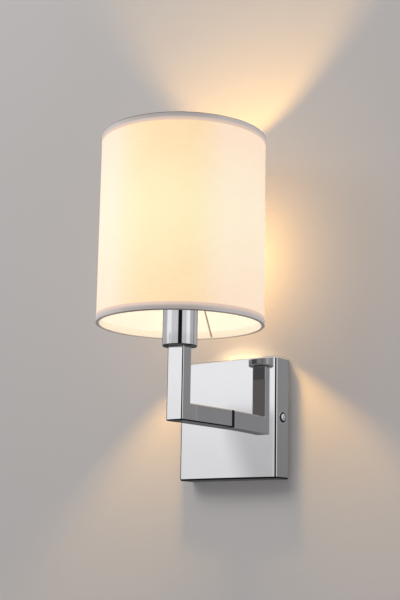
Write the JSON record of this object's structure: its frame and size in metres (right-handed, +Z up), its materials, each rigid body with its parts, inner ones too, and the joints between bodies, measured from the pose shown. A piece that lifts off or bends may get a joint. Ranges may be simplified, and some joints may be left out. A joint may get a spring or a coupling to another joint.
{
  "type": "wall sconce",
  "caption": "Wall light with a square chrome back plate, a square-section arm turned up into a post, a round cup lampholder and a white fabric drum shade over a globe bulb.",
  "frame": {"origin": "middle of the wall strap's two fixing slots, on the wall's surface", "axes": "+Z up, +Y into the wall, +X to the right as one faces the wall; the room lies towards -Y"},
  "size_m": [0.15, 0.165, 0.305],
  "materials": {
    "chrome_plate": "polished chromium plating",
    "chrome_screw": "nickel-plated screws",
    "zinc_steel": "zinc-plated sheet steel",
    "plain_steel": "turned steel",
    "black_fibre": "black fibre gasket",
    "brass": "turned brass",
    "terminal_plastic": "milky nylon",
    "holder_plastic": "moulded white plastic",
    "ring_plastic": "moulded white plastic",
    "shade_cloth": "woven off-white cotton",
    "shade_foil": "satin translucent foil",
    "hem_tape": "folded cloth tape",
    "white_wire": "white-enamelled steel wire",
    "live_sleeve": "brown insulation",
    "neutral_sleeve": "blue insulation",
    "earth_sleeve": "green and yellow insulation",
    "cap_metal": "pressed thin metal",
    "black_glass": "fused insulating glass",
    "bulb_plastic": "moulded white plastic",
    "board_metal": "white-coated board",
    "chip_resin": "yellow phosphor",
    "opal_globe": "opal diffuser"
  },
  "bodies": {
    "fixture": {"backplate_cover": "chrome_plate", "cover_screws": "chrome_screw", "wall_strap": "zinc_steel", "terminal_block": "terminal_plastic", "terminal_sleeves": "brass", "terminal_screws": "plain_steel", "block_screw": "plain_steel", "nipple_tag": "brass", "strap_tag": "brass", "earth_screw": "brass", "earth_wire": "earth_sleeve", "arm_nipple": "plain_steel", "arm_washer": "plain_steel", "arm_nut": "plain_steel", "arm_gasket": "black_fibre", "arm_tube": "chrome_plate", "post_tube": "chrome_plate", "arm_plug": "plain_steel", "post_plug": "plain_steel", "post_nipple": "plain_steel", "socket_cup": "chrome_plate", "holder_base": "holder_plastic", "holder_skirt": "holder_plastic", "holder_core": "holder_plastic", "screw_shell": "brass", "centre_contact": "brass", "holder_terminals": "brass", "holder_screws": "plain_steel", "live_wire": "live_sleeve", "neutral_wire": "neutral_sleeve"},
    "shade": {"shade_fabric": "shade_cloth", "shade_liner": "shade_foil", "bottom_hem": "hem_tape", "top_hem": "hem_tape", "bottom_rim_wire": "white_wire", "top_rim_wire": "white_wire", "fitter_ring": "white_wire", "shade_spoke_1": "white_wire", "shade_spoke_2": "white_wire", "shade_spoke_3": "white_wire"},
    "ring": {"clamp_ring": "ring_plastic"},
    "bulb": {"bulb_tip": "brass", "bulb_insulator": "black_glass", "bulb_screw_cap": "cap_metal", "bulb_collar": "bulb_plastic", "led_board": "board_metal", "led_chips": "chip_resin", "bulb_globe": "opal_globe"}
  },
  "joints": [
    {"name": "shade_swivel", "type": "hinge", "parent": "fixture", "child": "shade", "pos_m": [0, -0.09, 0.106], "axis": [0, 0, 1], "continuous": true},
    {"name": "ring_turn", "type": "hinge", "parent": "fixture", "child": "ring", "pos_m": [0, -0.09, 0.11], "axis": [0, 0, 1], "range_deg": [0, 990]},
    {"name": "bulb_lift", "type": "slide", "parent": "fixture", "child": "bulb", "axis": [0, 0, 1], "range_m": [0, 0.026]}
  ]
}
